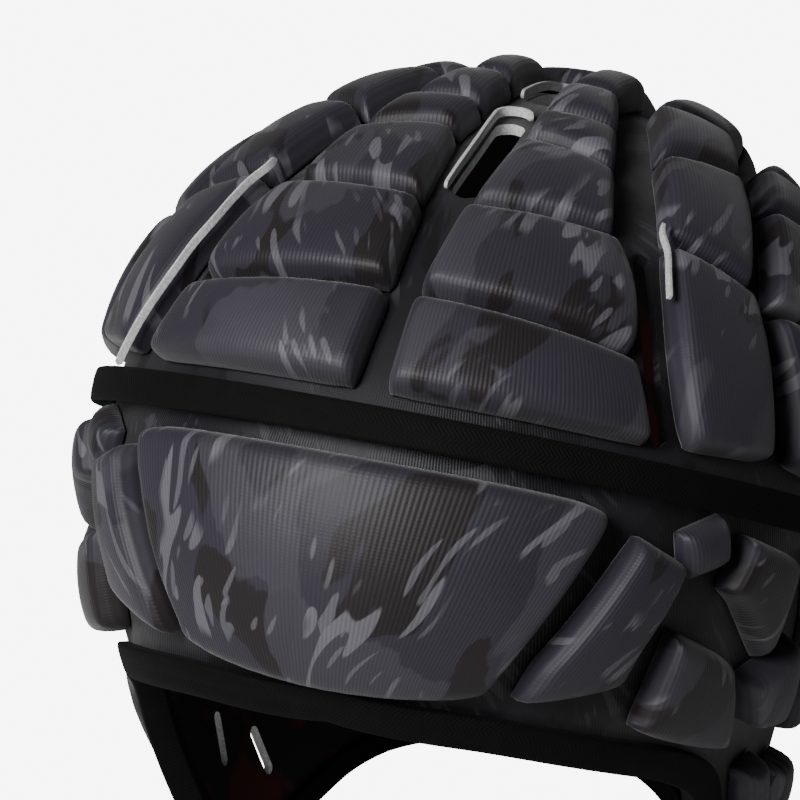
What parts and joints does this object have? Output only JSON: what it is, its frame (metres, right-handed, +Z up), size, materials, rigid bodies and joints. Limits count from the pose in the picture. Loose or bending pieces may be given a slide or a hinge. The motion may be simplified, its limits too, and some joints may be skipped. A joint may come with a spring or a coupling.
{
  "type": "rugby scrum cap",
  "caption": "Padded cloth scrum cap with crowned pads in columns, vents, a forehead pad, ear flaps, taped seams and a chin strap.",
  "frame": {"origin": "the highest point of the head inside the crown, where the cap sits on it", "axes": "+Z up, the wearer faces -Y, and the wearer's left is +X"},
  "size_m": [0.184, 0.2261, 0.2508],
  "materials": {
    "print_cloth": "satin rib knit with a streaked grey print",
    "edge_tape": "dull twill tape",
    "strap_webbing": "dull woven webbing"
  },
  "bodies": {
    "root": {"crown_shell": "print_cloth", "lower_shell": "print_cloth", "back_pad_1": "print_cloth", "back_pad_2": "print_cloth", "back_pad_3": "print_cloth", "cheek_pad_left": "print_cloth", "cheek_pad_right": "print_cloth", "ear_pad_left": "print_cloth", "ear_pad_right": "print_cloth", "flap_pad_front_left": "print_cloth", "flap_pad_front_right": "print_cloth", "flap_pad_rear_left": "print_cloth", "flap_pad_rear_right": "print_cloth", "forehead_pad": "print_cloth", "inner_pad_left_1": "print_cloth", "inner_pad_left_2": "print_cloth", "inner_pad_left_3": "print_cloth", "inner_pad_left_4": "print_cloth", "inner_pad_left_5": "print_cloth", "inner_pad_left_6": "print_cloth", "inner_pad_right_1": "print_cloth", "inner_pad_right_2": "print_cloth", "inner_pad_right_3": "print_cloth", "inner_pad_right_4": "print_cloth", "inner_pad_right_5": "print_cloth", "inner_pad_right_6": "print_cloth", "middle_pad_left_1": "print_cloth", "middle_pad_left_2": "print_cloth", "middle_pad_left_3": "print_cloth", "middle_pad_left_4": "print_cloth", "middle_pad_left_5": "print_cloth", "middle_pad_left_6": "print_cloth", "middle_pad_right_1": "print_cloth", "middle_pad_right_2": "print_cloth", "middle_pad_right_3": "print_cloth", "middle_pad_right_4": "print_cloth", "middle_pad_right_5": "print_cloth", "middle_pad_right_6": "print_cloth", "nape_pad": "print_cloth", "outer_pad_left_1": "print_cloth", "outer_pad_left_2": "print_cloth", "outer_pad_left_3": "print_cloth", "outer_pad_left_4": "print_cloth", "outer_pad_right_1": "print_cloth", "outer_pad_right_2": "print_cloth", "outer_pad_right_3": "print_cloth", "outer_pad_right_4": "print_cloth", "rear_pad_left_1": "print_cloth", "rear_pad_right_1": "print_cloth", "side_pad_lower_left": "print_cloth", "side_pad_lower_right": "print_cloth", "side_pad_upper_left": "print_cloth", "side_pad_upper_right": "print_cloth", "temple_pad_left": "print_cloth", "temple_pad_right": "print_cloth", "temple_roundel_left": "print_cloth", "temple_roundel_right": "print_cloth", "middle_tape": "edge_tape", "edge_binding": "edge_tape", "chin_strap": "strap_webbing"}
  },
  "joints": []
}
